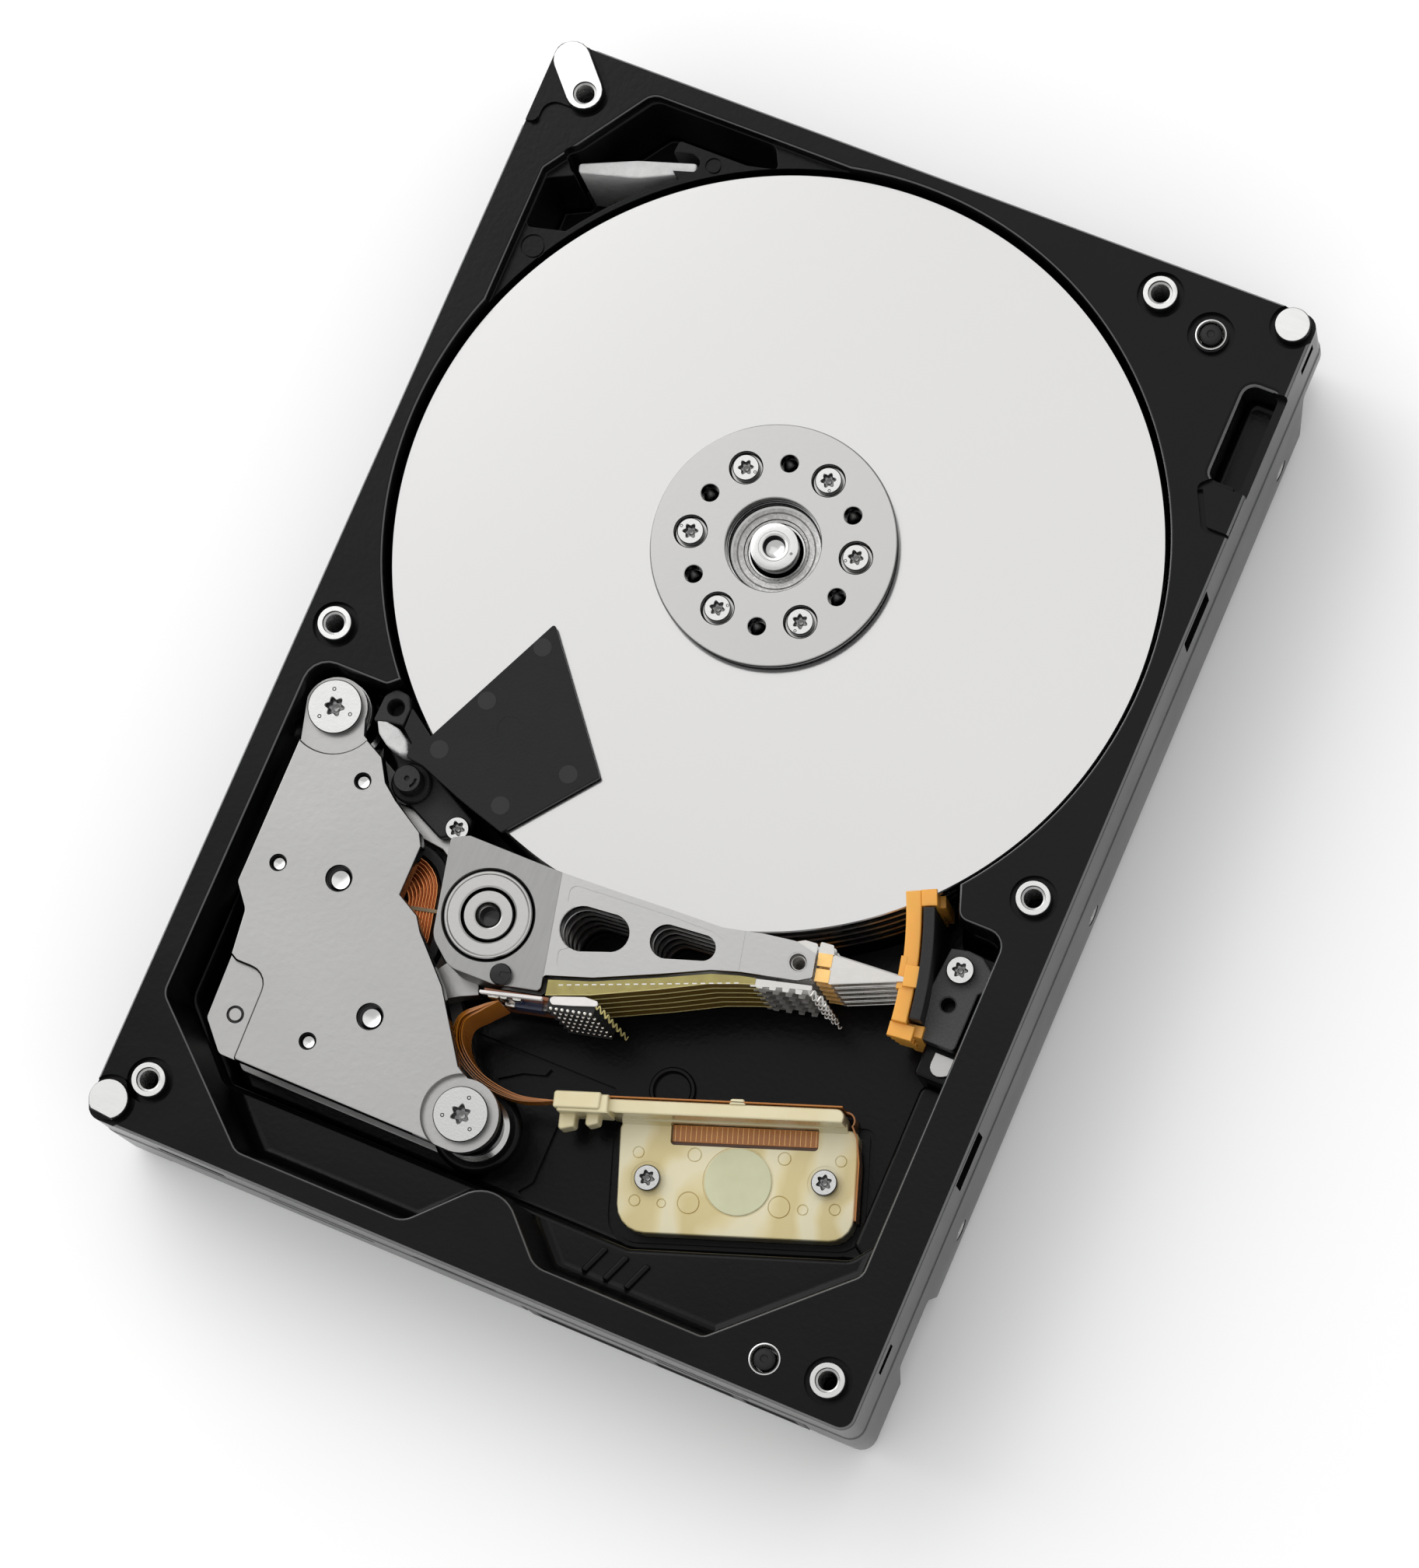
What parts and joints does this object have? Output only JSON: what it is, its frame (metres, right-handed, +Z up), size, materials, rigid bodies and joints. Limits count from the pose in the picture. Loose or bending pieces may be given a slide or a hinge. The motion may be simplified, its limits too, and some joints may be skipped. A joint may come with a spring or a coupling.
{
  "type": "hard disk drive",
  "caption": "Hard disk drive with its cover off: black cast base, mirror discs on a spindle, swinging head actuator, voice-coil motor, ramp and flex cable.",
  "frame": {"origin": "centre of the bounding box's bottom face, the plane of the rails' undersides", "axes": "+X across the drive to the ramp side, +Y from the connector end to the disc end, +Z up out of the open side"},
  "size_m": [0.1016, 0.146, 0.0254],
  "materials": {
    "black_cast": "gloss",
    "machined": "satin",
    "mirror_disc": "polished",
    "steel": "satin",
    "nickel": "satin",
    "aluminium": "satin",
    "magnet": "satin",
    "copper": "satin",
    "black_plastic": "matte",
    "cream_plastic": "gloss",
    "ramp_plastic": "satin",
    "amber_film": "gloss",
    "filter_cloth": "matte",
    "rubber": "matte",
    "board": "satin",
    "chip": "satin"
  },
  "bodies": {
    "base": {"base_casting": "black_cast", "spindle_shaft": "steel", "spindle_stator": "copper", "vcm_top_yoke": "nickel", "vcm_bottom_yoke": "nickel", "vcm_top_magnet": "magnet", "vcm_bottom_magnet": "magnet", "vcm_post_a": "steel", "vcm_post_b": "steel", "vcm_screw_a": "steel", "vcm_screw_b": "steel", "pivot_shaft": "steel", "recirculation_filter": "filter_cloth", "spoiler_plate": "black_plastic", "filter_holder": "black_plastic", "small_filter": "filter_cloth", "spoiler_screw": "steel", "load_ramp": "ramp_plastic", "ramp_bracket": "black_plastic", "ramp_screw": "steel", "flex_bracket": "cream_plastic", "flex_screw_a": "steel", "flex_screw_b": "steel", "flex_cable": "amber_film", "port_plug_a": "rubber", "port_plug_b": "rubber", "circuit_board": "board", "sata_connector": "black_plastic", "controller_chip": "chip", "motor_driver_chip": "chip", "memory_chip": "chip"},
    "spindle": {"spindle_hub": "steel", "disc_1": "mirror_disc", "disc_2": "mirror_disc", "disc_3": "mirror_disc", "disc_4": "mirror_disc", "disc_5": "mirror_disc", "disc_spacer_1": "aluminium", "disc_spacer_2": "aluminium", "disc_spacer_3": "aluminium", "disc_spacer_4": "aluminium", "disc_clamp": "machined", "clamp_screw_1": "steel", "clamp_screw_2": "steel", "clamp_screw_3": "steel", "clamp_screw_4": "steel", "clamp_screw_5": "steel", "clamp_screw_6": "steel"},
    "actuator": {"e_block": "aluminium", "bearing_sleeve": "machined", "voice_coil": "copper", "coil_former": "black_plastic", "preamp_board": "amber_film", "flex_pin": "black_plastic", "head_suspension_1": "steel", "head_suspension_2": "steel", "head_suspension_3": "steel", "head_suspension_4": "steel", "head_suspension_5": "steel", "head_suspension_6": "steel"}
  },
  "joints": [
    {"name": "spindle_spin", "type": "hinge", "parent": "base", "child": "spindle", "pos_m": [-0.0003, 0.0228, 0], "axis": [0, 0, 1], "continuous": true},
    {"name": "actuator_swing", "type": "hinge", "parent": "base", "child": "actuator", "pos_m": [-0.0145, -0.032, 0], "axis": [0, 0, 1], "range_deg": [0, 41], "deforming": ["flex_cable"]}
  ]
}
